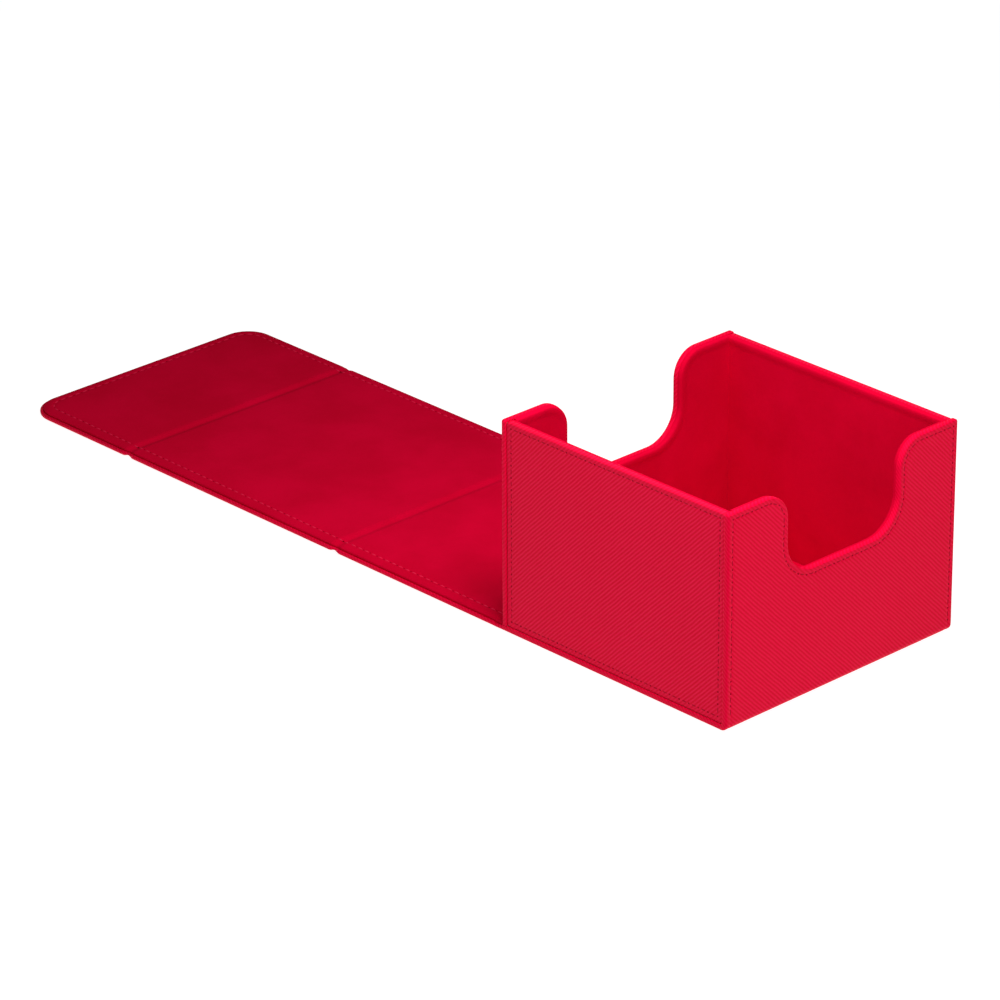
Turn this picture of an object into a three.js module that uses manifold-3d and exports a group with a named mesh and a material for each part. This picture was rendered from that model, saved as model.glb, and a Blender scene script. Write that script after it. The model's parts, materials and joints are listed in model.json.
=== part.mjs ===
// A card deck box that opens on one side. A tray holds the deck on edge. Two of its walls have a deep
// finger notch. A flap of three stiff panels (spine, lid, lip) runs on from the tray's base, wraps up the
// notched hinge wall, over the top and down the notched front wall, and is held there by magnets.
// Every panel is a stiff board inside a leatherette skin, with a soft lining on its inner side.
// Millimetres, +Z up. The origin is at the middle of the tray's underside. +X points away from the flap.
import * as THREE from "three";
import { mergeVertices } from "three/addons/utils/BufferGeometryUtils.js";
import Module from "manifold-3d";

const wasm = await Module();
wasm.setup();

// Tray
const trayLength = 100.5; // X, hinge wall's outer face to front wall's outer face
const trayWidth = 103.7; // Y, the strip of base and flap, edge to edge
const trayHeight = 74.3; // Z, underside to the top of the notched walls
const sideRecess = 0.4; // the plain side panels stand this far inside the strip's edges
const sideDrop = 0.3; // and this much below the notched walls

// Layers
const skin = 0.7; // leatherette
const board = 1.2; // stiff card
const glue = 0.1; // glue line, and the clearance between neighbouring pieces
const flapLining = 0.6; // thin lining on the flap
const wallLining = 1.4; // padded lining panel on the walls
const floorLining = 1.1; // padded lining panel on the tray's floor
const liningInset = 0.2; // a wall's lining ends this far inside the wall's edge
const flapRim = 1.2; // width of the skin's turned edge beside the flap's lining
const rimRound = 0.6; // rounding of a skin's turned edges
const liningRound = 0.4; // rounding of a wall's or floor's lining
const flapLiningRound = 0.2; // rounding of the flap's linings
const liningCorner = 1; // a lining's own corners
const cornerRound = 1.2; // a wall's own corners
const foldRound = 2.4; // the skin's fold from the base up the front wall

// Finger notch in the hinge wall and the front wall
const notchWidth = 50.5;
const notchDepth = 30; // the walls' top down to its lower edge
const notchShoulder = 9.5; // radius where it meets the wall's top
const notchCorner = 12; // radius at its lower corners

// Flap
const closeGap = 0.35; // room between the closed flap and the notched walls
const lidGap = 2; // room between the closed lid and the walls' tops
const lipLength = 54.3; // last crease to the lip's free edge
const lipCorner = 11; // rounding of the lip's free corners
const grooveHalf = 2.6; // crease to the stiff part of a panel
const creaseGap = 0.2; // slit on the crease between two panels' skins

// Closing magnets, one row in the lip and one in the front wall
const magnetRadius = 5;
const magnetThickness = 1;
const magnetInset = 10.5; // magnet's centre to the lip's free edge
const magnetPitch = 22;
const magnetCount = 4;

// Seams
const seamInset = 2; // seam to a wall's edge
const flapSeamInset = 4.9; // seam to the flap's edge
const flapSeamEnd = 1; // a flap seam ends this far from its panel's ends
const threadWidth = 0.6;
const threadHeight = 0.25;
const threadClearance = 0.05;

// Worked out
const shell = skin + glue + board; // skin and board together
const hingeX = -trayLength / 2;
const frontX = trayLength / 2;
const halfWidth = trayWidth / 2;
const flapThickness = shell + glue + flapLining;
const creaseZ = skin / 2; // creases bend in the middle of the skin
const notchFloor = trayHeight - notchDepth;
const innerOffset = flapThickness - creaseZ; // crease to a panel's inner surface
const baseCrease = hingeX - innerOffset - closeGap;
const spinePitch = trayHeight + lidGap + innerOffset - creaseZ;
const lidCrease = baseCrease - spinePitch;
const lidPitch = trayLength + 2 * (innerOffset + closeGap);
const lipCrease = lidCrease - lidPitch;
const lipEnd = lipCrease - lipLength;
const magnetZ = creaseZ + spinePitch - (lipLength - magnetInset); // where the closed lip's magnets come
const wallFoot = shell + glue; // the walls stand on the base here
const sideHalf = halfWidth - sideRecess; // the side panels' outer faces
const sideLiningFace = sideHalf - shell - glue - wallLining; // the side linings' inner faces

// Fineness of rounded corners and of rounded edges, in segments
const ARC = 3;
const ROUND = 2;
const OVERSHOOT = 1; // what cuts a piece reaches this far beyond it
const LEAST_RADIUS = 0.05; // stands for a sharp corner
const SAME_POINT = 1e-4; // corners closer than this are one

const leatherette = new THREE.MeshStandardMaterial({ color: 0xd4163a, roughness: 0.55, metalness: 0 });
const lining = new THREE.MeshStandardMaterial({ color: 0xc4002c, roughness: 0.9, metalness: 0 });
const cardboard = new THREE.MeshStandardMaterial({ color: 0x8c8375, roughness: 0.9, metalness: 0 });
const steel = new THREE.MeshStandardMaterial({ color: 0xb8bcc0, roughness: 0.35, metalness: 1 });
const threadRed = new THREE.MeshStandardMaterial({ color: 0xb01030, roughness: 0.7, metalness: 0 });

// A closed three.js geometry as a manifold solid.
function solid(geometry) {
  const bare = geometry.index ? geometry.toNonIndexed() : geometry.clone();
  bare.deleteAttribute("normal");
  bare.deleteAttribute("uv");
  const merged = mergeVertices(bare, SAME_POINT);
  return new wasm.Manifold(
    new wasm.Mesh({
      numProp: 3,
      vertProperties: merged.attributes.position.array,
      triVerts: new Uint32Array(merged.index.array),
    }),
  );
}

// Ways to stand a drawn outline: its two drawing axes and the way it is extruded.
const ALONG_X = [[0, 1, 0], [0, 0, 1], [1, 0, 0]]; // drawn in Y and Z
const ALONG_Y = [[1, 0, 0], [0, 0, 1], [0, -1, 0]]; // drawn in X and Z, extruded towards -Y
const ALONG_Z = [[1, 0, 0], [0, 1, 0], [0, 0, 1]]; // drawn in X and Y

// An outline extruded from low to high along one axis, with its edges rounded by round.
function prism(outline, stand, low, high, round = 0) {
  const geometry = new THREE.ExtrudeGeometry(outline, {
    depth: high - low - 2 * round,
    curveSegments: ARC,
    bevelEnabled: round > 0,
    bevelThickness: round,
    bevelSize: round,
    bevelOffset: -round,
    bevelSegments: ROUND,
  });
  const axes = stand.map((axis) => new THREE.Vector3(...axis));
  const start = stand === ALONG_Y ? -high + round : low + round;
  geometry.translate(0, 0, start);
  geometry.applyMatrix4(new THREE.Matrix4().makeBasis(...axes));
  return solid(geometry);
}

function box(x0, x1, y0, y1, z0, z1) {
  const geometry = new THREE.BoxGeometry(x1 - x0, y1 - y0, z1 - z0);
  geometry.translate((x0 + x1) / 2, (y0 + y1) / 2, (z0 + z1) / 2);
  return solid(geometry);
}

// A rectangle from (u0, v0) to (u1, v1) with corners of one radius.
function roundedRectangle(u0, v0, u1, v1, radius) {
  const r = Math.max(radius, LEAST_RADIUS);
  const s = new THREE.Shape();
  s.moveTo(u0 + r, v0);
  s.absarc(u1 - r, v0 + r, r, -Math.PI / 2, 0);
  s.absarc(u1 - r, v1 - r, r, 0, Math.PI / 2);
  s.absarc(u0 + r, v1 - r, r, Math.PI / 2, Math.PI);
  s.absarc(u0 + r, v0 + r, r, Math.PI, 1.5 * Math.PI);
  return s;
}

// The outline of a notched wall in Y and Z, moved inwards by inset on every side.
function notchedOutline(half, foot, top, inset, corner = cornerRound - inset) {
  const r = Math.max(corner, LEAST_RADIUS);
  const side = half - inset;
  const low = foot + inset;
  const high = top - inset;
  const shoulderY = notchWidth / 2 + notchShoulder;
  const cornerY = notchWidth / 2 - notchCorner;
  const s = new THREE.Shape();
  s.moveTo(-side + r, low);
  s.absarc(side - r, low + r, r, -Math.PI / 2, 0);
  s.absarc(side - r, high - r, r, 0, Math.PI / 2);
  s.absarc(shoulderY, top - notchShoulder, notchShoulder - inset, Math.PI / 2, Math.PI);
  s.absarc(cornerY, notchFloor + notchCorner, notchCorner + inset, 0, -Math.PI / 2, true);
  s.absarc(-cornerY, notchFloor + notchCorner, notchCorner + inset, -Math.PI / 2, -Math.PI, true);
  s.absarc(-shoulderY, top - notchShoulder, notchShoulder - inset, 0, Math.PI / 2);
  s.absarc(-side + r, high - r, r, Math.PI / 2, Math.PI);
  s.absarc(-side + r, low + r, r, Math.PI, 1.5 * Math.PI);
  return s;
}

// The plan of a flap panel in X and Y, moved inwards by inset; the lip's free corners are rounded.
function flapPlan(x0, x1, inset, cornerRadius) {
  const r = Math.max(cornerRadius - inset, LEAST_RADIUS);
  const side = halfWidth - inset;
  const s = new THREE.Shape();
  s.moveTo(x1, -side);
  s.lineTo(x1, side);
  s.absarc(x0 + inset + r, side - r, r, Math.PI / 2, Math.PI);
  s.absarc(x0 + inset + r, -side + r, r, Math.PI, 1.5 * Math.PI);
  return s;
}

const group = new THREE.Group();

function add(name, shape, material) {
  const made = shape.getMesh();
  const geometry = new THREE.BufferGeometry()
    .setAttribute("position", new THREE.BufferAttribute(new Float32Array(made.vertProperties), 3))
    .setIndex(new THREE.BufferAttribute(new Uint32Array(made.triVerts), 1));
  geometry.computeVertexNormals();
  const mesh = new THREE.Mesh(geometry, material);
  mesh.name = name;
  group.add(mesh);
}

// The band that a seam's thread lies in: the ring between two insets of an outline, of a given depth.
function seamBand(outlineAt, inset, stand, low, high, clearance) {
  const half = threadWidth / 2 + clearance;
  const outer = prism(outlineAt(inset - half), stand, low, high);
  const inner = prism(outlineAt(inset + half), stand, low - OVERSHOOT, high + OVERSHOOT);
  return outer.subtract(inner);
}

// Removes from a solid the straight runs of a seam that its panel doesn't have.
const without = (shape, cut) => (cut ? shape.subtract(cut) : shape);

// A wall: a skin wrapped round a board, a seam thread let into the skin, and a lining panel inside.
// outer is the wall's outer face, and inward is +1 or -1, the way from it into the tray.
function wall(name, { stand, outlineAt, liningOutline, outer, inward, unsewn, boardHoles }) {
  const layer = (from, to) => {
    const a = outer + inward * from;
    const b = outer + inward * to;
    return [Math.min(a, b), Math.max(a, b)];
  };
  const seamAt = (from, to, clearance) => {
    const ring = seamBand(outlineAt, seamInset, stand, ...layer(from, to), clearance);
    return without(ring, unsewn);
  };
  const channel = seamAt(-OVERSHOOT, threadHeight + threadClearance, threadClearance);
  const pocket = prism(outlineAt(skin), stand, ...layer(skin, shell + OVERSHOOT));
  const wrapped = prism(outlineAt(0), stand, ...layer(0, shell), rimRound);
  const core = prism(outlineAt(skin + glue), stand, ...layer(skin + glue, shell));
  const padding = prism(liningOutline, stand, ...layer(shell + glue, shell + glue + wallLining), liningRound);
  add(`${name}_skin`, wrapped.subtract(pocket).subtract(channel), leatherette);
  add(`${name}_board`, without(core, boardHoles), cardboard);
  add(`${name}_thread`, seamAt(0, threadHeight, 0), threadRed);
  add(`${name}_lining`, padding, lining);
}

// Round magnets in one row, or the holes for them when grown by a clearance.
function magnetAt(index, stand, across, low, high, grow) {
  const y = (index - (magnetCount - 1) / 2) * magnetPitch;
  const centre = stand === ALONG_X ? [y, across] : [across, y];
  const s = new THREE.Shape();
  s.absarc(...centre, magnetRadius + grow, 0, 2 * Math.PI);
  return prism(s, stand, low, high);
}

function magnetRow(stand, across, low, high, grow) {
  const made = [];
  for (let i = 0; i < magnetCount; i++) made.push(magnetAt(i, stand, across, low, high, grow));
  return made;
}

const allOf = (solids) => solids.reduce((sum, one) => sum.add(one));

// The two notched walls. Their seams run up both sides and along the notched top, not along the foot.
function notchedWalls() {
  const outlineAt = (inset) => notchedOutline(halfWidth, wallFoot, trayHeight, inset);
  const liningHalf = sideLiningFace - glue + liningInset;
  const liningFoot = wallFoot - liningInset;
  const liningOutline = notchedOutline(liningHalf, liningFoot, trayHeight, liningInset, liningCorner);
  const sewnFrom = wallFoot + seamInset + threadWidth;
  const unsewn = box(-trayLength, trayLength, -trayWidth, trayWidth, 0, sewnFrom);
  const boardHoles = allOf(
    magnetRow(ALONG_X, magnetZ, frontX - shell - OVERSHOOT, frontX - skin + OVERSHOOT, glue),
  );
  const both = { stand: ALONG_X, outlineAt, liningOutline, unsewn };
  wall("hinge_wall", { ...both, outer: hingeX, inward: 1 });
  wall("front_wall", { ...both, outer: frontX, inward: -1, boardHoles });
  const back = frontX - skin - glue - (board + magnetThickness) / 2;
  magnetRow(ALONG_X, magnetZ, back, back + magnetThickness, 0).forEach((magnet, i) => {
    add(`front_magnet_${i + 1}`, magnet, steel);
  });
}

// The two plain side panels stand on the base between the notched walls.
function sideWalls() {
  const x0 = hingeX + shell + glue;
  const x1 = frontX - shell - glue;
  const top = trayHeight - sideDrop;
  const outlineAt = (inset) =>
    roundedRectangle(x0 + inset, wallFoot + inset, x1 - inset, top - inset, cornerRound - inset);
  const liningOutline = roundedRectangle(x0, wallFoot, x1, top - liningInset, liningCorner);
  const both = { stand: ALONG_Y, outlineAt, liningOutline };
  wall("near_side", { ...both, outer: -sideHalf, inward: 1 });
  wall("far_side", { ...both, outer: sideHalf, inward: -1 });
}

// A length of the strip that base and flap are cut from, in X and Z: thick where its board is and one
// skin thick at its creases. Its ends at a crease slope back at 45 degrees, so that they meet when folded.
function stripProfile(x0, x1, creaseAtLow, creaseAtHigh) {
  const s = new THREE.Shape();
  const end = creaseGap / 2;
  s.moveTo(creaseAtLow ? x0 + end : x0, 0);
  if (creaseAtHigh) {
    s.lineTo(x1 - end, 0);
    s.lineTo(x1 - end, creaseZ);
    s.lineTo(x1 - end - (skin - creaseZ), skin);
    s.lineTo(x1 - grooveHalf, skin);
    s.lineTo(x1 - grooveHalf, shell);
  } else {
    s.lineTo(x1 - foldRound, 0);
    s.absarc(x1 - foldRound, foldRound, foldRound, -Math.PI / 2, -Math.asin(1 - shell / foldRound));
  }
  if (creaseAtLow) {
    s.lineTo(x0 + grooveHalf, shell);
    s.lineTo(x0 + grooveHalf, skin);
    s.lineTo(x0 + end + (skin - creaseZ), skin);
    s.lineTo(x0 + end, creaseZ);
  } else {
    s.lineTo(x0, shell);
  }
  return s;
}

// The strip's cross-section in Y and Z, which rounds its two long edges.
const stripSection = () => roundedRectangle(-halfWidth, 0, halfWidth, shell, rimRound);

// The tray's base: its skin carries on as the first half of the base crease.
function base() {
  const boardX0 = hingeX + skin + glue;
  const boardX1 = frontX - skin - glue;
  const pocketHalf = halfWidth - skin;
  const boardHalf = pocketHalf - glue;
  const above = shell + OVERSHOOT;
  const profile = prism(stripProfile(baseCrease, frontX, true, false), ALONG_Y, -halfWidth, halfWidth);
  const section = prism(stripSection(), ALONG_X, lipEnd, frontX + OVERSHOOT);
  const beyond = box(baseCrease, hingeX, -trayWidth, trayWidth, skin, above);
  const pocket = box(boardX0 - glue, boardX1 + glue, -pocketHalf, pocketHalf, skin, above);
  const wrapped = profile.intersect(section).subtract(beyond).subtract(pocket);
  add("base_skin", wrapped, leatherette);
  add("base_board", box(boardX0, boardX1, -boardHalf, boardHalf, skin + glue, shell), cardboard);
  const x = frontX - shell - glue - wallLining - glue;
  const y = sideLiningFace - glue;
  const outline = roundedRectangle(-x, -y, x, y, liningCorner);
  add("base_lining", prism(outline, ALONG_Z, wallFoot, wallFoot + floorLining, liningRound), lining);
}

// One flap panel between two creases, or between a crease and the lip's free edge.
function flapPanel(name, x0, x1, { free = false, boardHoles }) {
  const stiff0 = free ? x0 : x0 + grooveHalf;
  const stiff1 = x1 - grooveHalf;

  // The plan of a plate inside the stiff part, its distances to the outer edges and to the creases given.
  const plan = (edge, crease, corner) =>
    free
      ? flapPlan(x0, stiff1 - crease, edge, lipCorner)
      : roundedRectangle(stiff0 + crease, edge - halfWidth, stiff1 - crease, halfWidth - edge, corner);

  // The seam's two long runs, or the one that goes round the free end, between two heights.
  const seams = (clearance, z0, z1) => {
    const end = flapSeamEnd - clearance;
    if (free) {
      const outlineAt = (inset) => flapPlan(x0, x1, inset, lipCorner);
      const ring = seamBand(outlineAt, flapSeamInset, ALONG_Z, z0, z1, clearance);
      const rest = [x1 + OVERSHOOT, -trayWidth, trayWidth, z0 - OVERSHOOT, z1 + OVERSHOOT];
      return [ring.subtract(box(stiff1 - end, ...rest))];
    }
    const half = threadWidth / 2 + clearance;
    return [-1, 1].map((sign) => {
      const y = sign * (halfWidth - flapSeamInset);
      return box(stiff0 + end, stiff1 - end, y - half, y + half, z0, z1);
    });
  };

  const profile = prism(stripProfile(x0, x1, !free, true), ALONG_Y, -halfWidth, halfWidth);
  let body = profile.intersect(prism(stripSection(), ALONG_X, x0 - OVERSHOOT, x1 + OVERSHOOT));
  if (free) {
    const tip = prism(flapPlan(x0, x1, 0, lipCorner), ALONG_Z, 0, shell, rimRound);
    body = body.intersect(tip.add(box(x0 + lipCorner + OVERSHOOT, x1, -halfWidth, halfWidth, 0, shell)));
  }
  const rim = flapRim + glue;
  const channelDepth = threadHeight + threadClearance;
  const outerChannel = allOf(seams(threadClearance, -OVERSHOOT, channelDepth));
  const innerChannel = allOf(
    seams(threadClearance, flapThickness - channelDepth, flapThickness + OVERSHOOT),
  );
  const pocket = prism(plan(flapRim, skin, 0), ALONG_Z, skin, shell + OVERSHOOT);
  const core = prism(plan(rim, skin + glue, 0), ALONG_Z, skin + glue, shell);
  const cover = prism(plan(rim, 0, liningCorner), ALONG_Z, shell + glue, flapThickness, flapLiningRound);
  add(`${name}_skin`, body.subtract(pocket).subtract(outerChannel), leatherette);
  add(`${name}_board`, without(core, boardHoles), cardboard);
  add(`${name}_lining`, cover.subtract(innerChannel), lining);
  const ends = free ? [""] : ["_near", "_far"];
  seams(0, 0, threadHeight).forEach((thread, i) => {
    add(`${name}_outer_thread${ends[i]}`, thread, threadRed);
  });
  seams(0, flapThickness - threadHeight, flapThickness).forEach((thread, i) => {
    add(`${name}_inner_thread${ends[i]}`, thread, threadRed);
  });
}

function flap() {
  flapPanel("spine", lidCrease, baseCrease, {});
  flapPanel("lid", lipCrease, lidCrease, {});
  const magnetX = lipEnd + magnetInset;
  const boardHoles = allOf(magnetRow(ALONG_Z, magnetX, skin, shell + OVERSHOOT, glue));
  flapPanel("lip", lipEnd, lipCrease, { free: true, boardHoles });
  const low = skin + glue + (board - magnetThickness) / 2;
  magnetRow(ALONG_Z, magnetX, low, low + magnetThickness, 0).forEach((magnet, i) => {
    add(`lip_magnet_${i + 1}`, magnet, steel);
  });
}

base();
notchedWalls();
sideWalls();
flap();

export default group;
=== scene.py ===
import json
import math

import bmesh
import bpy
from mathutils import Matrix, Vector


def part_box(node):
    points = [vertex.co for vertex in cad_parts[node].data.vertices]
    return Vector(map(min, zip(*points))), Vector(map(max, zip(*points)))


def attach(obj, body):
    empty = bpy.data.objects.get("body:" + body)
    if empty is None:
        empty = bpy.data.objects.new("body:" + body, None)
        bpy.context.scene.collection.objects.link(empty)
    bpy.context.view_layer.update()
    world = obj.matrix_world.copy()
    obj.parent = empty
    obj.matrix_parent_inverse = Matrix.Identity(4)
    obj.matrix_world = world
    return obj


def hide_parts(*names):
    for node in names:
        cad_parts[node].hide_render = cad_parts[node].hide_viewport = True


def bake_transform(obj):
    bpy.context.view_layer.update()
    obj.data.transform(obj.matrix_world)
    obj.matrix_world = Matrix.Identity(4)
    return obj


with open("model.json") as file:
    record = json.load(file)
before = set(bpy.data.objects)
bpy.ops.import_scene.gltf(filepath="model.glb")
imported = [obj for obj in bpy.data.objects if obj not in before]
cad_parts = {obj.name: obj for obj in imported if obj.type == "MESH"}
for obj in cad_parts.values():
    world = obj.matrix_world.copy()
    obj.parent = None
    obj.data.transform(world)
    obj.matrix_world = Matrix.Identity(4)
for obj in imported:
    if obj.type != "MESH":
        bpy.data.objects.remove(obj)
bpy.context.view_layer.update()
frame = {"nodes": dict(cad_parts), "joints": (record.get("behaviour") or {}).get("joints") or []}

MM = 0.001
QUARTER = math.pi / 2

# The notched walls' outline
NOTCH_WIDTH = 50.5
NOTCH_DEPTH = 30
NOTCH_SHOULDER = 9.5
NOTCH_CORNER = 12
PANEL_CORNER = 0.9
# How far below the tray the notched outline is drawn, to be cut to length later
OVER_LENGTH = 12

# Leatherette: its thickness, and how it is turned over the boards' edges
SKIN = 0.7
RIM_ROUND = 0.6
BACK_ROUND = 0.3
FLAP_RIM = 1.15
FLAP_RIM_HEIGHT = 1.5
FLAP_EDGE_ROUND = 0.5
LIP_CORNER = 11
FOLD_ROUND = 2.4

# Linings: the gap to what lies behind, how much fuller the edge is than the middle, and what is trimmed off
LINING_GAP = 0.1
LINING_PUFF = 0.22
SPARE = 6
# How far a lining runs on to meet its neighbour, whose middle is hollowed
REACH = LINING_GAP + LINING_PUFF

# Seams
WALL_SEAM = 2.0
FLAP_SEAM = 4.9
WALL_STITCH = 4.2
FLAP_STITCH = 3.3
SEAM_DEPTH = 0.14
SKIN_SEAM_HEIGHT = -0.21
OUTER_SEAM_HEIGHT = 0.22
INNER_SEAM_DEPTH = 0.2
SKIN_HOLE_RISE = 0.11
LINING_HOLE_RISE = -0.02

# Creases of the flap
CREASE_HALF = 2.6
CREASE_CUTS = (-3.2, -2.6, -1.9, -1.3, -0.8, -0.4, 0, 0.4, 0.8, 1.3, 1.9, 2.6, 3.2)

# Ribs pressed into the leatherette, across their length
RIB_PITCH = 1.08

# Two points closer than these are the same place, on an outline and along the flap
SAME_PLACE = 0.01
SAME_CUT = 0.001


def edges_of(node):
    """A frame node's lowest and highest corners, in millimetres."""
    low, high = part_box(node)
    return Vector(low) / MM, Vector(high) / MM


WALL_LOW, WALL_HIGH = edges_of("front_wall_skin")
SIDE_LOW, SIDE_HIGH = edges_of("near_side_skin")
FRONT = WALL_HIGH.x
HINGE = edges_of("hinge_wall_skin")[0].x
HALF_WIDTH = WALL_HIGH.y
TOP = WALL_HIGH.z
FOOT = WALL_LOW.z
SHELL = WALL_HIGH.x - WALL_LOW.x
LIP_END = edges_of("lip_skin")[0].x
FLAP_TOP = edges_of("lid_lining")[1].z
LINING_INSET = TOP - edges_of("front_wall_lining")[1].z
# How each crease is pressed: the section is flattened about a height, by a part of itself, and narrowed
CREASE_PRESS = {"spine_fold": (0, 0.3, 0), "lid_fold": (1.2, 0.45, 0.4), "lip_fold": (1.2, 0.45, 0.4)}
CREASES = {joint["name"]: joint["pos_m"][0] / MM for joint in frame["joints"]}
MID_SPINE = (CREASES["spine_fold"] + CREASES["lid_fold"]) / 2
MID_LID = (CREASES["lid_fold"] + CREASES["lip_fold"]) / 2

# Ways to place what was drawn flat on the bench: across, up and outwards
FACING_FRONT = Matrix(((0, 0, 1, 0), (1, 0, 0, 0), (0, 1, 0, 0), (0, 0, 0, 1)))
FACING_NEAR = Matrix(((1, 0, 0, 0), (0, 0, -1, 0), (0, 1, 0, 0), (0, 0, 0, 1)))
TURNED_ROUND = Matrix.Rotation(math.pi, 4, "Z")
LYING = Matrix.Identity(4)


# ---------------------------------------------------------------- bench work


def bench(name, low, high, height=0):
    """A flat rectangle from low to high, in edit mode, all of it selected."""
    bpy.ops.object.select_all(action="DESELECT")
    bpy.ops.mesh.primitive_plane_add(size=1)
    piece = bpy.context.object
    piece.name = piece.data.name = name
    bpy.ops.object.mode_set(mode="EDIT")
    bpy.ops.mesh.select_all(action="SELECT")
    bpy.ops.transform.resize(value=(high[0] - low[0], high[1] - low[1], 1))
    middle = ((low[0] + high[0]) / 2, (low[1] + high[1]) / 2, height)
    bpy.ops.transform.translate(value=middle)
    return piece


def pick(piece, kind, test):
    """Selects only the vertices, edges or faces that pass the test."""
    bpy.ops.mesh.select_mode(type=kind)
    bpy.ops.mesh.select_all(action="DESELECT")
    mesh = bmesh.from_edit_mesh(piece.data)
    for part in {"VERT": mesh.verts, "EDGE": mesh.edges, "FACE": mesh.faces}[kind]:
        if test(part):
            part.select_set(True)
    mesh.select_flush_mode()
    bmesh.update_edit_mesh(piece.data)


def round_corners(piece, corners, radius, segments):
    """Rounds the corners of a flat outline that lie at the given places."""
    at = [Vector(corner) for corner in corners]
    pick(piece, "VERT", lambda v: any((v.co.xy - c).length < SAME_PLACE for c in at))
    bpy.ops.mesh.bevel(offset=radius, segments=segments, affect="VERTICES", clamp_overlap=False)
    pick(piece, "FACE", lambda f: True)


def cut(place, along, clear_below=False, clear_above=False, fill=False):
    """Cuts through all of the piece with a plane across one axis."""
    bpy.ops.mesh.select_mode(type="FACE")
    bpy.ops.mesh.select_all(action="SELECT")
    normal = [0, 0, 0]
    normal["XYZ".index(along)] = 1
    bpy.ops.mesh.bisect(
        plane_co=[place * n for n in normal],
        plane_no=normal,
        clear_inner=clear_below,
        clear_outer=clear_above,
        use_fill=fill,
        threshold=0.0001,
    )


def trim(limits):
    """Cuts off what lies beyond the limits, and closes the cuts."""
    for along, low, high in limits:
        cut(low, along, clear_below=True, fill=True)
        if high is not None:
            cut(high, along, clear_above=True, fill=True)


def raise_face(rise):
    """Extrudes the selected face upwards."""
    bpy.ops.mesh.extrude_region_move(TRANSFORM_OT_translate={"value": (0, 0, rise)})


def contour(steps):
    """Works the selected face inwards ring by ring, by steps of how far in and how far out of the face."""
    for inwards, outwards in steps:
        bpy.ops.mesh.inset(thickness=inwards, depth=outwards, use_even_offset=True)


def through(points):
    """Contour steps through points, each the distance from the edge and the height."""
    return [(b[0] - a[0], b[1] - a[1]) for a, b in zip(points, points[1:])]


def quarter_round(radius, rings=4):
    """Contour steps that turn from a panel's side onto its face."""
    turn = [QUARTER * k / rings for k in range(rings + 1)]
    return through([(radius * (1 - math.cos(a)), radius * math.sin(a)) for a in turn])


def close_corners(radius):
    """Takes the face in by what is left of its corners' radius, so that they end in points."""
    contour([(radius, 0)])
    bpy.ops.mesh.remove_doubles(threshold=0.2)


def rise_from_seam(seam):
    """Contour steps from the bottom of a seam line back up to the face inside it."""
    contour(through([(seam, -SEAM_DEPTH), (seam + 0.4, -0.04), (seam + 0.85, 0), (seam + 1.1, 0)]))


def paint(piece, index):
    """Gives the selected faces one of the piece's materials."""
    piece.active_material_index = index
    bpy.ops.object.material_slot_assign()


def off_bench(piece, way=LYING, offset=(0, 0, 0), smooth=50):
    """Places a piece in the frame, with its origin at the frame's."""
    if piece.mode == "EDIT":
        bpy.ops.object.mode_set(mode="OBJECT")
    only(piece)
    piece.matrix_world = Matrix.Scale(MM, 4) @ Matrix.Translation(offset) @ way
    bpy.ops.object.transform_apply(location=True, rotation=True, scale=True)
    bpy.ops.object.shade_smooth_by_angle(angle=math.radians(smooth))
    return piece


def only(piece):
    """Selects one piece and nothing else."""
    bpy.ops.object.select_all(action="DESELECT")
    piece.select_set(True)
    bpy.context.view_layer.objects.active = piece


def copy_of(piece, name):
    """A copy with its own mesh."""
    copy = piece.copy()
    copy.data = piece.data.copy()
    copy.name = copy.data.name = name
    bpy.context.collection.objects.link(copy)
    return copy


def twin(piece, name):
    """A copy turned half round about the frame's upright axis."""
    copy = copy_of(piece, name)
    only(copy)
    copy.matrix_world = TURNED_ROUND
    bpy.ops.object.transform_apply(location=True, rotation=True, scale=True)
    return copy


def remember_lay(piece):
    """Keeps each point's place on the flat, so that a pattern bends with the material."""
    lay = piece.data.attributes.new("lay", "FLOAT_VECTOR", "POINT")
    for vertex, stored in zip(piece.data.vertices, lay.data):
        stored.vector = vertex.co


# ---------------------------------------------------------------- shader maths


class Wire:
    """A value on its way through a material's nodes, which Python's operators work on."""

    def __init__(self, board, socket):
        self.board, self.socket = board, socket

    def math(self, operation, *others):
        return self.board.node("ShaderNodeMath", {"operation": operation}, [self, *others])

    def __add__(self, other):
        return self.math("ADD", other)

    def __mul__(self, other):
        return self.math("MULTIPLY", other)

    def __sub__(self, other):
        return self.math("SUBTRACT", other)

    def __rsub__(self, other):
        return self.board.node("ShaderNodeMath", {"operation": "SUBTRACT"}, [other, self])

    __radd__ = __add__
    __rmul__ = __mul__

    def between(self, low, high):
        """0 at low and 1 at high, smoothly."""
        settings = {"interpolation_type": "SMOOTHSTEP"}
        inputs = {"Value": self, "From Min": low, "From Max": high}
        return self.board.node("ShaderNodeMapRange", settings, inputs)


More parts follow.
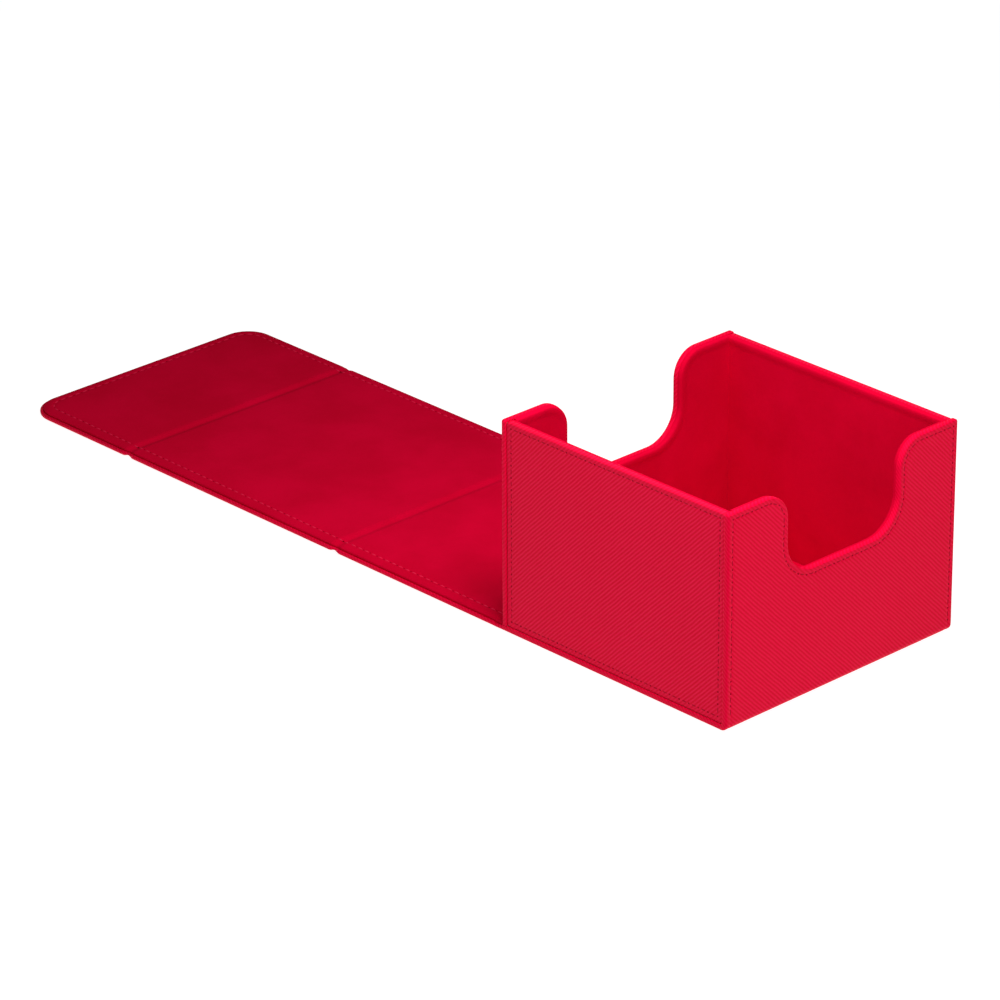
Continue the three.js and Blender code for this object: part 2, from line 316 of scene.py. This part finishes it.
class Board:
    """One material's nodes."""

    def __init__(self, name):
        self.material = bpy.data.materials.new(name)
        self.material.use_nodes = True
        self.tree = self.material.node_tree
        self.shader = self.tree.nodes["Principled BSDF"]

    def node(self, kind, settings=None, inputs=None, output=0):
        made = self.tree.nodes.new(kind)
        for key, value in (settings or {}).items():
            setattr(made, key, value)
        pairs = inputs.items() if isinstance(inputs, dict) else enumerate(inputs or [])
        for key, value in pairs:
            self.feed(made.inputs[key], value)
        return Wire(self, made.outputs[output])

    def feed(self, socket, value):
        if isinstance(value, Wire):
            self.tree.links.new(value.socket, socket)
        else:
            socket.default_value = value

    def finish(self, **sockets):
        """Sets the shader's sockets; a name's underscores stand for spaces."""
        for key, value in sockets.items():
            self.feed(self.shader.inputs[key.replace("_", " ")], value)
        return self.material

    def place(self):
        return self.node("ShaderNodeTexCoord", output=3)

    def lay(self):
        return self.node("ShaderNodeAttribute", {"attribute_name": "lay"}, output=1)

    def noise(self, vector, scale, detail=2, roughness=0.5):
        inputs = {"Vector": vector, "Scale": scale, "Detail": detail, "Roughness": roughness}
        return self.node("ShaderNodeTexNoise", None, inputs)

    def blend(self, factor, low, high):
        """A colour between two, by a factor."""
        made = self.tree.nodes.new("ShaderNodeMix")
        made.data_type = "RGBA"
        self.feed(made.inputs[0], factor)
        for socket, colour in ((made.inputs[6], low), (made.inputs[7], high)):
            self.feed(socket, colour if isinstance(colour, Wire) else (*colour, 1))
        return Wire(self, made.outputs[2])

    def bump(self, height, distance, strength=1.0):
        inputs = {"Strength": strength, "Distance": distance, "Height": height}
        return self.node("ShaderNodeBump", None, inputs)


def leatherette(name, across, crown, pressed=False):
    """Coated cloth with fine ribs; across is the way from rib to rib, and crown the colour on top of one.
    The ribs' colour is painted light: their tops lighter and whiter as a painted highlight, their grooves
    darker as painted shade. Pressed, its ribs are nearly flat."""
    board = Board(name)
    lay = board.lay()
    step = [component / (RIB_PITCH * MM) for component in across]
    phase = board.node("ShaderNodeVectorMath", {"operation": "DOT_PRODUCT"}, [lay, step], output=1)
    drift = board.noise(lay, 120, 2) - 0.5
    ribs = (phase + drift * 0.5) * (2 * math.pi)
    ribs = ribs.math("SINE") * 0.5 + 0.5
    breaks = board.noise(lay, 1500, 2, 0.6)
    grain = board.noise(lay, 3800, 3, 0.6)
    mottle = board.noise(lay, 55, 3, 0.55)
    depth = 0.85 if pressed else 1.0
    height = ribs * depth * (breaks * 0.7 + 0.5) + grain * 0.35
    # The ribs' share of this colour factor is painted light, a highlight on the tops and shade in the
    # grooves; mottle and breaks are the leatherette's own uneven tone.
    rib_light_and_mottle = ribs * (0.62 * depth) + mottle * 0.2 + breaks * 0.3 + (0.3 * (1 - depth))
    return board.finish(
        Base_Color=board.blend(rib_light_and_mottle, GROOVE_SHADE, crown),
        Roughness=0.34 + mottle * 0.12 + (1 - ribs) * 0.12,
        Normal=board.bump(height, 0.00007 if not pressed else 0.00005, 0.9),
        Specular_IOR_Level=0.04,
        Specular_Tint=(1, 0.2, 0.3, 1),
    )


def microfibre(name):
    """Soft lining with a short, uneven nap."""
    board = Board(name)
    lay = board.lay()
    nap = board.noise(lay, 900, 4, 0.65)
    brushed = board.noise(lay, 32, 3, 0.6).between(0.3, 0.7)
    fibres = board.noise(lay, 5200, 2, 0.5)
    colour = board.blend(brushed * 0.5 + nap * 0.5, (0.52, 0.0002, 0.018), (0.67, 0.0006, 0.031))
    return board.finish(
        Base_Color=colour,
        Roughness=0.78 + nap * 0.16,
        Normal=board.bump(nap * 0.7 + fibres * 0.4, 0.00004, 0.6),
        Specular_IOR_Level=0.03,
        Specular_Tint=(1, 0.3, 0.4, 1),
    )


def sewing_thread(name, low, high):
    """Twisted thread."""
    board = Board(name)
    place = board.place()
    twist = board.noise(place, 2600, 3, 0.6)
    return board.finish(
        Base_Color=board.blend(twist, low, high),
        Roughness=0.5 + twist * 0.25,
        Normal=board.bump(twist, 0.00005, 0.8),
        Specular_IOR_Level=0.06,
        Specular_Tint=(1, 0.3, 0.4, 1),
    )


def needle_hole_shade(name):
    """The dark inside of a hole: painted shade, unevenly dark."""
    board = Board(name)
    hole_shade_mottle = board.noise(board.place(), 900, 2)
    return board.finish(
        Base_Color=board.blend(hole_shade_mottle, (0.16, 0.0005, 0.004), (0.26, 0.001, 0.008)),
        Roughness=0.8 + hole_shade_mottle * 0.1,
        Specular_IOR_Level=0.02,
    )


def grey_board(name):
    """Recycled board, flecked."""
    board = Board(name)
    place = board.place()
    pulp = board.noise(place, 700, 4, 0.7)
    fleck = board.noise(place, 2300, 1).between(0.62, 0.7)
    colour = board.blend(fleck * 0.5 + pulp * 0.5, (0.34, 0.31, 0.26), (0.17, 0.15, 0.12))
    return board.finish(
        Base_Color=colour,
        Roughness=0.85 + pulp * 0.1,
        Normal=board.bump(pulp, 0.00006, 0.6),
    )


def nickel(name):
    """Plated magnet, finely scuffed."""
    board = Board(name)
    place = board.place()
    scuff = board.noise(place, 1800, 4, 0.7)
    colour = board.blend(scuff, (0.46, 0.45, 0.43), (0.60, 0.59, 0.57))
    return board.finish(Base_Color=colour, Metallic=1.0, Roughness=0.22 + scuff * 0.25)


ROOT_HALF = math.sqrt(0.5)
# Rib colours: the groove colour is painted shade in the rib grooves, and the crown colours are painted
# highlights on the rib tops.
GROOVE_SHADE = (0.59, 0.0, 0.010)
# The strip and the side panels are one leatherette. Their two crown colours differ only as painted light,
# for walls that face different ways and are lit differently.
STRIP_CROWN_AS_LIT = (0.80, 0.0032, 0.052)
SIDE_CROWN_AS_LIT = (0.79, 0.0078, 0.060)


def skin_pair(name, across, crown):
    """A leatherette and its pressed margin."""
    across = [ROOT_HALF * way for way in across]
    plain = leatherette(name + "_leatherette", across, crown)
    return plain, leatherette(name + "_leatherette_pressed", across, crown, pressed=True)


STRIP_SKINS = skin_pair("strip", (1, 1, 1), STRIP_CROWN_AS_LIT)
HINGE_SKINS = skin_pair("hinge", (-1, -1, 1), STRIP_CROWN_AS_LIT)
NEAR_SKINS = skin_pair("near", (1, 0, -1), SIDE_CROWN_AS_LIT)
FAR_SKINS = skin_pair("far", (-1, 0, -1), SIDE_CROWN_AS_LIT)
LINING = microfibre("microfibre_lining")
SKIN_THREAD = sewing_thread("skin_thread", (0.30, 0.0004, 0.010), (0.48, 0.0025, 0.024))
LINING_THREAD = sewing_thread("lining_thread", (0.60, 0.004, 0.035), (0.80, 0.025, 0.085))
# The needle hole material is painted shade for the inside of the holes.
HOLE_SHADE = needle_hole_shade("needle_hole_shade")
BOARD = grey_board("grey_board")
MAGNET = nickel("nickel_plate")


# ---------------------------------------------------------------- walls of the tray


def notched_outline(name, half, top, inset):
    """The flat outline of a notched wall, well over length at its foot, with its notch worked in."""
    notch = NOTCH_WIDTH / 2 + inset
    floor = TOP - NOTCH_DEPTH - inset
    foot = -OVER_LENGTH
    piece = bench(name, (-half, foot), (half, top))
    cut(-notch, "X")
    cut(notch, "X")
    cut(floor, "Y")

    def in_notch(face):
        middle = face.calc_center_median()
        return abs(middle.x) < notch and middle.y > floor

    pick(piece, "FACE", in_notch)
    bpy.ops.mesh.delete(type="FACE")
    pick(piece, "EDGE", lambda e: not e.is_boundary)
    bpy.ops.mesh.dissolve_edges(use_verts=False)
    spare = [Vector(at) for at in ((-notch, foot), (notch, foot), (-half, floor), (half, floor))]
    pick(piece, "VERT", lambda v: any((v.co.xy - at).length < SAME_PLACE for at in spare))
    bpy.ops.mesh.dissolve_verts()
    shoulders = [(-notch, top), (notch, top)]
    round_corners(piece, shoulders, NOTCH_SHOULDER - inset, 14)
    round_corners(piece, [(-notch, floor), (notch, floor)], NOTCH_CORNER + inset, 16)
    return piece


def skin_panel(piece, corner, seam):
    """Works a flat outline into a leatherette panel: rounded rims, a seam line, and a pocket behind."""
    bpy.ops.transform.translate(value=(0, 0, BACK_ROUND - SHELL))
    raise_face(SHELL - RIM_ROUND - BACK_ROUND)
    bpy.ops.mesh.select_all(action="SELECT")
    paint(piece, 1)
    bpy.ops.mesh.normals_make_consistent(inside=False)
    pick(piece, "FACE", lambda f: f.normal.z > 0.9)
    contour(quarter_round(RIM_ROUND))
    close_corners(corner - RIM_ROUND)
    contour(through([(corner, 0), (seam - 0.6, 0), (seam - 0.35, -0.05), (seam, -SEAM_DEPTH)]))
    paint(piece, 0)
    rise_from_seam(seam)
    pick(piece, "FACE", lambda f: f.normal.z < -0.9)
    contour(quarter_round(BACK_ROUND))
    contour([(SKIN - BACK_ROUND, 0), (0.02, SKIN - SHELL), (0.1, 0)])


def padded_lining(piece, thickness):
    """Works a flat outline into a lining panel, a little fuller along its edge."""
    bpy.ops.mesh.select_all(action="SELECT")
    side = thickness * 0.35
    raise_face(side)
    bpy.ops.mesh.select_all(action="SELECT")
    bpy.ops.mesh.normals_make_consistent(inside=False)
    pick(piece, "FACE", lambda f: f.normal.z > 0.9)
    field = thickness - LINING_PUFF
    band = [
        (0, side),
        (0.08, thickness * 0.62),
        (0.26, thickness * 0.86),
        (0.6, thickness - 0.06),
        (1.1, thickness),
        (1.7, thickness - 0.01),
        (2.3, thickness - LINING_PUFF * 0.35),
        (3.0, field + 0.03),
        (3.6, field),
        (4.2, field),
    ]
    contour(through(band))


def notched_walls():
    """The front wall and its twin, the hinge wall. The front wall's skin runs on as the base's."""
    front = notched_outline("front_and_base_skin", HALF_WIDTH, TOP, 0)
    round_corners(front, [(-HALF_WIDTH, TOP), (HALF_WIDTH, TOP)], PANEL_CORNER, 4)
    for skin in STRIP_SKINS:
        front.data.materials.append(skin)
    skin_panel(front, PANEL_CORNER, WALL_SEAM)
    bpy.ops.object.mode_set(mode="OBJECT")
    hinge = copy_of(front, "hinge_wall_panel")

    # The hinge wall ends flat on the base.
    only(hinge)
    bpy.ops.object.mode_set(mode="EDIT")
    cut(FOOT, "Y", clear_below=True, fill=True)
    off_bench(hinge, TURNED_ROUND @ Matrix.Translation((FRONT, 0, 0)) @ FACING_FRONT)
    for index, skin in enumerate(HINGE_SKINS):
        hinge.data.materials[index] = skin
    remember_lay(hinge)

    # The front wall goes round the fold and on under the tray.
    only(front)
    bpy.ops.object.mode_set(mode="EDIT")
    cut(FOLD_ROUND, "Y", clear_below=True)
    pick(
        front,
        "EDGE",
        lambda e: e.is_boundary and all(abs(v.co.y - FOLD_ROUND) < SAME_CUT for v in e.verts),
    )
    centre = (0, FOLD_ROUND, -FOLD_ROUND)
    bpy.ops.mesh.spin(steps=8, angle=-QUARTER, center=centre, axis=(1, 0, 0), use_normal_flip=False)
    length = FRONT - FOLD_ROUND - HINGE
    bpy.ops.mesh.extrude_region_move(TRANSFORM_OT_translate={"value": (0, 0, -length)})
    bpy.ops.mesh.edge_face_add()
    bpy.ops.mesh.select_all(action="SELECT")
    bpy.ops.mesh.normals_make_consistent(inside=False)
    off_bench(front, Matrix.Translation((FRONT, 0, 0)) @ FACING_FRONT)
    remember_lay(front)
    return front, hinge


def wall_linings():
    """The front wall's lining and its twin, the hinge wall's."""
    low, high = edges_of("front_wall_lining")
    back = high.x + LINING_GAP
    half = high.y + REACH
    piece = notched_outline("front_wall_padding", high.y + SPARE, high.z, LINING_INSET)
    padded_lining(piece, back - low.x)
    trim([("X", -half, half), ("Y", FOOT, None)])
    piece.data.materials.append(LINING)
    # Drawn facing the front, it is turned to face into the tray.
    off_bench(piece, Matrix.Translation((back, 0, 0)) @ TURNED_ROUND @ FACING_FRONT)
    other = twin(piece, "hinge_wall_padding")
    for made in (piece, other):
        remember_lay(made)
    return piece, other


def side_walls():
    """The near side panel and its twin, the far one."""
    low = Vector((SIDE_LOW.x - LINING_GAP, SIDE_LOW.z - LINING_GAP))
    high = Vector((SIDE_HIGH.x + LINING_GAP, SIDE_HIGH.z))
    near = bench("near_side_panel", low, high)
    round_corners(near, [(x, z) for x in (low.x, high.x) for z in (low.y, high.y)], PANEL_CORNER, 4)
    for skin in NEAR_SKINS:
        near.data.materials.append(skin)
    skin_panel(near, PANEL_CORNER, WALL_SEAM)
    off_bench(near, Matrix.Translation((0, SIDE_LOW.y, 0)) @ FACING_NEAR)
    far = twin(near, "far_side_panel")
    for index, skin in enumerate(FAR_SKINS):
        far.data.materials[index] = skin
    for made in (near, far):
        remember_lay(made)
    return near, far


def side_linings():
    """The near side's lining and its twin, the far side's."""
    low, high = edges_of("near_side_lining")
    back = low.y - LINING_GAP
    near = bench("near_side_padding", (low.x - SPARE, low.z - SPARE), (high.x + SPARE, high.z))
    padded_lining(near, high.y - back)
    trim([("X", low.x, high.x), ("Y", low.z, None)])
    near.data.materials.append(LINING)
    off_bench(near, Matrix.Translation((0, back, 0)) @ TURNED_ROUND @ FACING_NEAR)
    far = twin(near, "far_side_padding")
    for made in (near, far):
        remember_lay(made)
    return near, far


def floor_lining():
    """The lining inside on the base, reaching in under the fuller edges of its neighbours."""
    low, high = edges_of("base_lining")
    reach = Vector((REACH, REACH, 0))
    piece = bench("floor_padding", (low - reach)[:2], (high + reach)[:2], low.z)
    padded_lining(piece, high.z - low.z)
    piece.data.materials.append(LINING)
    off_bench(piece)
    remember_lay(piece)
    return piece


# ---------------------------------------------------------------- flap


def crease_at(x):
    """How deeply the flap is pressed at x, from 0 to 1, and how the nearest crease is pressed."""
    name = min(CREASES, key=lambda crease: abs(x - CREASES[crease]))
    away = abs(x - CREASES[name]) / CREASE_HALF
    deep = 0.5 + 0.5 * math.cos(math.pi * away) if away < 1 else 0.0
    return deep, *CREASE_PRESS[name]


def flap_outline(name, inset, height):
    """The flap's plan, over length at the tray, with its free corners rounded."""
    half = HALF_WIDTH - inset
    piece = bench(name, (LIP_END + inset, -half), (HINGE + OVER_LENGTH, half), height)
    free = [(LIP_END + inset, -half), (LIP_END + inset, half)]
    round_corners(piece, free, LIP_CORNER - inset, 12)
    return piece


def cut_creases():
    """Cuts the flap across at its creases, for pressing them."""
    for crease in CREASES.values():
        for away in CREASE_CUTS:
            cut(crease + away, "X")


def press_creases(piece):
    """Flattens and narrows the flap at its creases."""
    for crease in CREASES.values():
        for away in CREASE_CUTS[2:-2]:
            deep, height, flatten, narrow = crease_at(crease + away)
            pick(piece, "VERT", lambda v: abs(v.co.x - crease - away) < SAME_CUT)
            size = (1, 1 - narrow * deep / HALF_WIDTH, 1 - flatten * deep)
            bpy.ops.transform.resize(value=size, center_override=(0, 0, height))


def lengths_of(master, names, end):
    """Cuts a whole flap layer into three lengths, parted in the middle of the spine and of the lid."""
    bpy.ops.object.mode_set(mode="OBJECT")
    limits = [(MID_SPINE, end), (MID_LID, MID_SPINE), (None, MID_LID)]
    made = []
    for name, (low, high) in zip(names, limits):
        piece = copy_of(master, name)
        only(piece)
        bpy.ops.object.mode_set(mode="EDIT")
        cut(high, "X", clear_above=True, fill=True)
        if low is not None:
            cut(low, "X", clear_below=True, fill=True)
        made.append(off_bench(piece))
        remember_lay(piece)
    bpy.data.objects.remove(master, do_unlink=True)
    return made


def flap_skins():
    """The flap's leatherette: a rim that stands up round the boards, and a seam line on its outer face."""
    piece = flap_outline("flap_skin", 0, RIM_ROUND)
    for skin in STRIP_SKINS:
        piece.data.materials.append(skin)
    raise_face(FLAP_RIM_HEIGHT - FLAP_EDGE_ROUND - RIM_ROUND)
    bpy.ops.mesh.select_all(action="SELECT")
    bpy.ops.mesh.normals_make_consistent(inside=False)
    paint(piece, 1)
    pick(piece, "FACE", lambda f: f.normal.z > 0.9)
    contour(quarter_round(FLAP_EDGE_ROUND))
    rim = FLAP_RIM_HEIGHT
    pocket = [
        (FLAP_EDGE_ROUND, rim),
        (0.85, rim - 0.06),
        (1.05, rim - 0.22),
        (FLAP_RIM, rim - 0.4),
        (FLAP_RIM + 0.02, SKIN),
        (1.3, SKIN),
    ]
    contour(through(pocket))
    pick(piece, "FACE", lambda f: f.normal.z < -0.9)
    contour(quarter_round(RIM_ROUND))
    seam = FLAP_SEAM
    contour(through([(RIM_ROUND, 0), (seam - 0.75, 0), (seam - 0.4, -0.05), (seam, -SEAM_DEPTH)]))
    paint(piece, 0)
    rise_from_seam(seam)
    cut_creases()
    press_creases(piece)
    return lengths_of(piece, ["base_crease_skin", "lid_crease_skin", "lip_crease_skin"], HINGE)


def flap_linings():
    """The lining slopes down all round into the skin's rim, and lies on the boards within it."""
    skirt = FLAP_RIM_HEIGHT - 0.5
    piece = flap_outline("flap_lining", FLAP_RIM, skirt)
    raise_face(0.15)
    bpy.ops.mesh.select_all(action="SELECT")
    bpy.ops.mesh.normals_make_consistent(inside=False)
    pick(piece, "FACE", lambda f: f.normal.z > 0.9)
    top = FLAP_TOP
    seam = FLAP_SEAM - FLAP_RIM
    band = [
        (0, skirt + 0.15),
        (0.03, skirt + 0.6),
        (0.08, SHELL + 0.08),
        (0.25, SHELL + 0.26),
        (0.6, top - 0.28),
        (1.2, top - 0.12),
        (1.9, top - 0.03),
        (2.7, top - 0.01),
        (seam - 0.55, top - 0.03),
        (seam - 0.25, top - 0.14),
        (seam, top - 0.22),
        (seam + 0.25, top - 0.14),
        (seam + 0.7, top - 0.05),
        (seam + 1.6, top),
        (seam + 2.0, top),
    ]
    contour(through(band))
    pick(piece, "FACE", lambda f: f.normal.z < -0.9)
    contour([(0.1, 0), (0.01, skirt - SHELL)])
    piece.data.materials.append(LINING)
    cut_creases()
    press_creases(piece)
    names = ["base_crease_lining", "lid_crease_lining", "lip_crease_lining"]
    return lengths_of(piece, names, HINGE - LINING_GAP)


# ---------------------------------------------------------------- stitches


def stitch_unit(pitch, thread, hole_rise):
    """One stitch lying along X, with the needle hole at its end, so far above the thread's middle. The hole
    is a flat dark bead of painted shade.
    """
    bpy.ops.object.select_all(action="DESELECT")
    bpy.ops.mesh.primitive_uv_sphere_add(segments=6, ring_count=5, radius=0.5)
    unit = bpy.context.object
    bpy.ops.object.mode_set(mode="EDIT")
    bpy.ops.mesh.select_all(action="SELECT")
    bpy.ops.transform.rotate(value=QUARTER, orient_axis="Y", center_override=(0, 0, 0))
    bpy.ops.transform.resize(value=(pitch * 0.76, 0.62, 0.42))
    pick(unit, "VERT", lambda v: abs(v.co.x) > pitch * 0.3)
    bpy.ops.transform.translate(value=(0, 0, -0.12))
    bpy.ops.mesh.select_all(action="SELECT")
    unit.data.materials.append(thread)
    unit.data.materials.append(HOLE_SHADE)
    paint(unit, 0)
    bpy.ops.mesh.select_all(action="DESELECT")
    # The needle hole: a flattened dark bead, painted shade where the thread goes in.
    hole = (pitch / 2, 0, hole_rise)
    bpy.ops.mesh.primitive_uv_sphere_add(segments=6, ring_count=3, radius=0.5, location=hole)
    bpy.ops.transform.resize(value=(0.7, 0.62, 0.2), center_override=hole)
    paint(unit, 1)
    bpy.ops.object.mode_set(mode="OBJECT")
    bpy.ops.object.shade_smooth()
    return unit


def arc(centre, radius, start, end, steps=16):
    """Points round part of a circle, its angles in quarter turns."""
    turn = [QUARTER * (start + (end - start) * k / steps) for k in range(steps + 1)]
    return [(centre[0] + radius * math.cos(a), centre[1] + radius * math.sin(a)) for a in turn]


def along(run, pitch):
    """Where the stitches of one run lie, and which way each points."""
    points = [Vector(p) for p in run]
    lengths = [(b - a).length for a, b in zip(points, points[1:])]
    count = max(1, round(sum(lengths) / pitch))
    step = sum(lengths) / count

    def at(distance):
        for a, b, length in zip(points, points[1:], lengths):
            if distance <= length:
                return a.lerp(b, distance / length)
            distance -= length
        return points[-1]

    for k in range(count):
        start, end = at(k * step), at((k + 1) * step)
        middle = at((k + 0.5) * step)
        yield middle, math.atan2(end.y - start.y, end.x - start.x), (end - start).length / pitch


def pressed(x, y, z):
    """Where a point of the flap lies once its creases are pressed."""
    deep, height, flatten, narrow = crease_at(x)
    return x, y - math.copysign(narrow * deep, y), height + (z - height) * (1 - flatten * deep)


def sew(name, runs, pitch, thread, height, hole_rise=SKIN_HOLE_RISE, face_down=False, lay=None):
    """Stitches along flat runs of points, joined into one piece. lay moves each to where it lies."""
    unit = stitch_unit(pitch, thread, hole_rise)
    flip = Matrix.Rotation(math.pi, 4, "X") if face_down else Matrix.Identity(4)
    copies = []
    for run in runs:
        for middle, angle, stretch in along(run, pitch):
            copy = copy_of(unit, name)
            place = (middle.x, middle.y, height)
            placed = Matrix.Translation(lay(*place) if lay else place)
            turned = placed @ Matrix.Rotation(angle, 4, "Z")
            copy.matrix_world = turned @ flip @ Matrix.Diagonal((stretch, 1, 1, 1))
            copies.append(copy)
    bpy.data.objects.remove(unit, do_unlink=True)
    bpy.ops.object.select_all(action="DESELECT")
    for copy in copies:
        copy.select_set(True)
    bpy.context.view_layer.objects.active = copies[0]
    bpy.ops.object.join()
    piece = bpy.context.object
    piece.name = piece.data.name = name
    bpy.ops.object.transform_apply(location=True, rotation=True, scale=True)
    return piece


def wall_seams():
    """The stitches of the tray's four walls."""
    half = HALF_WIDTH - WALL_SEAM
    top = TOP - WALL_SEAM
    notch = NOTCH_WIDTH / 2
    floor = TOP - NOTCH_DEPTH
    left = arc((-notch - NOTCH_SHOULDER, TOP - NOTCH_SHOULDER), NOTCH_SHOULDER - WALL_SEAM, 1, 0)
    left += arc((-notch + NOTCH_CORNER, floor + NOTCH_CORNER), NOTCH_CORNER + WALL_SEAM, 2, 3)
    right = [(-x, z) for x, z in reversed(left)]
    across = [(-half, top), *left, *right, (half, top)]
    foot = FOOT + 2.2
    runs = [[(-half, foot), (-half, top)], across, [(half, top), (half, foot)]]
    front = sew("front_wall_seam", runs, WALL_STITCH, SKIN_THREAD, SKIN_SEAM_HEIGHT)
    off_bench(front, Matrix.Translation((FRONT, 0, 0)) @ FACING_FRONT)
    hinge = twin(front, "hinge_wall_seam")

    x, z0, z1 = SIDE_HIGH.x - WALL_SEAM, SIDE_LOW.z + WALL_SEAM, SIDE_HIGH.z - WALL_SEAM
    round_panel = [(-x, z0), (x, z0), (x, z1), (-x, z1), (-x, z0)]
    runs = [list(pair) for pair in zip(round_panel, round_panel[1:])]
    near = sew("near_side_seam", runs, WALL_STITCH, SKIN_THREAD, SKIN_SEAM_HEIGHT)
    off_bench(near, Matrix.Translation((0, SIDE_LOW.y, 0)) @ FACING_NEAR)
    far = twin(near, "far_side_seam")
    return front, hinge, near, far


def flap_seams():
    """The flap's seams, inner and outer side, in the same three lengths as its skins."""
    y = HALF_WIDTH - FLAP_SEAM
    radius = LIP_CORNER - FLAP_SEAM
    end = LIP_END + LIP_CORNER
    near_corner = arc((end, -y + radius), radius, 3, 2)
    far_corner = arc((end, y - radius), radius, 2, 1)
    free = [(MID_LID, -y), *near_corner, *far_corner, (MID_LID, y)]
    tray_end = HINGE - 0.8
    lengths = {
        "base_crease_seam": [[(MID_SPINE, side * y), (tray_end, side * y)] for side in (-1, 1)],
        "lid_crease_seam": [[(MID_LID, side * y), (MID_SPINE, side * y)] for side in (-1, 1)],
        "lip_crease_seam": [free],
    }
    made = []
    for name, runs in lengths.items():
        top = FLAP_TOP - INNER_SEAM_DEPTH
        inner = sew(name + "_inner", runs, FLAP_STITCH, LINING_THREAD, top, LINING_HOLE_RISE, lay=pressed)
        foot = OUTER_SEAM_HEIGHT
        outer = sew(name + "_outer", runs, FLAP_STITCH, SKIN_THREAD, foot, face_down=True, lay=pressed)
        for piece in (inner, outer):
            off_bench(piece, smooth=80)
        made.append((inner, outer))
    return made


# ---------------------------------------------------------------- assembly

front_skin, hinge_skin = notched_walls()
front_padding, hinge_padding = wall_linings()
near_skin, far_skin = side_walls()
near_padding, far_padding = side_linings()
floor_padding = floor_lining()
front_seam, hinge_seam, near_seam, far_seam = wall_seams()

TRAY_PIECES = (
    (front_skin, "leatherette", ["front_wall_skin", "base_skin"]),
    (hinge_skin, "leatherette", ["hinge_wall_skin"]),
    (near_skin, "leatherette", ["near_side_skin"]),
    (far_skin, "leatherette", ["far_side_skin"]),
    (front_padding, "lining", ["front_wall_lining"]),
    (hinge_padding, "lining", ["hinge_wall_lining"]),
    (near_padding, "lining", ["near_side_lining"]),
    (far_padding, "lining", ["far_side_lining"]),
    (floor_padding, "lining", ["base_lining"]),
    (front_seam, "thread", ["front_wall_thread"]),
    (hinge_seam, "thread", ["hinge_wall_thread"]),
    (near_seam, "thread", ["near_side_thread"]),
    (far_seam, "thread", ["far_side_thread"]),
)
for piece, slot, nodes in TRAY_PIECES:
    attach(piece, "tray")
    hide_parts(*nodes)

skins = flap_skins()
linings = flap_linings()
seams = flap_seams()
JOINTS = (("spine_fold", "tray", "spine"), ("lid_fold", "spine", "lid"), ("lip_fold", "lid", "lip"))
SEAM_NODES = {
    "spine": ["spine_{}_thread_near", "spine_{}_thread_far"],
    "lid": ["lid_{}_thread_near", "lid_{}_thread_far"],
    "lip": ["lip_{}_thread"],
}
for (joint, near_tray, beyond), skin, lining, (inner, outer) in zip(JOINTS, skins, linings, seams):
    layers = (
        (skin, "leatherette", [beyond + "_skin"]),
        (lining, "lining", [beyond + "_lining"]),
        (inner, "thread", [node.format("inner") for node in SEAM_NODES[beyond]]),
        (outer, "thread", [node.format("outer") for node in SEAM_NODES[beyond]]),
    )
    for piece, slot, nodes in layers:
        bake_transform(piece)
        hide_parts(*nodes)

for name, node in frame["nodes"].items():
    if name.endswith("_board") or "magnet" in name:
        node.data.materials.clear()
        node.data.materials.append(BOARD if name.endswith("_board") else MAGNET)


# ---------------------------------------------------------------- floor, light and camera


def pale_floor():
    """A floor that shows white, and throws a little of that light back up."""
    bpy.ops.object.select_all(action="DESELECT")
    bpy.ops.mesh.primitive_plane_add(size=8, location=(0, 0, -0.0004))
    floor = bpy.context.object
    floor.name = "floor"
    board = Board("pale_floor")
    pale = board.finish(
        Base_Color=(0.25, 0.25, 0.25, 1),
        Roughness=1,
        Emission_Color=(1, 1, 1, 1),
        Emission_Strength=0.95,
    )
    floor.data.materials.append(pale)


def soft_light(name, place, aim, size, power):
    """A round lamp that the camera doesn't see."""
    light = bpy.data.lights.new(name, "AREA")
    light.shape = "DISK"
    light.size = size
    light.energy = power
    lamp = bpy.data.objects.new(name, light)
    lamp.location = place
    lamp.rotation_euler = (Vector(aim) - Vector(place)).to_track_quat("-Z", "Y").to_euler()
    lamp.visible_camera = False
    bpy.context.collection.objects.link(lamp)


def studio():
    """Even light from all round, and three soft lamps over the tray."""
    world = bpy.data.worlds.new("studio")
    bpy.context.scene.world = world
    world.use_nodes = True
    world.node_tree.nodes["Background"].inputs["Color"].default_value = (1, 1, 1, 1)
    world.node_tree.nodes["Background"].inputs["Strength"].default_value = 0.16
    aim = (0, 0, 0.03)
    soft_light("key", (0.05, -0.05, 0.3), aim, 0.2, 0.85)
    soft_light("side", (0.45, -0.05, 0.3), aim, 0.3, 0.54)
    soft_light("fill", (0.0, -0.1, 0.35), aim, 0.2, 0.38)
    bpy.context.scene.view_settings.view_transform = "Standard"


def camera():
    """A long lens at a raised three-quarter view."""
    azimuth, elevation, roll = math.radians(46.55), math.radians(24.9), math.radians(-0.31)
    level = math.cos(elevation)
    back = Vector((math.sin(azimuth) * level, -math.cos(azimuth) * level, math.sin(elevation)))
    target = Vector((-0.12266, 0.01617, 0))
    distance = 1.86
    data = bpy.data.cameras.new("camera")
    data.lens = 198.1
    data.clip_start, data.clip_end = 0.1, 20
    eye = bpy.data.objects.new("camera", data)
    turned = (-back).to_track_quat("-Z", "Y").to_matrix().to_4x4() @ Matrix.Rotation(roll, 4, "Z")
    eye.matrix_world = Matrix.Translation(target + back * distance) @ turned
    bpy.context.collection.objects.link(eye)
    bpy.context.scene.camera = eye


pale_floor()
studio()
camera()
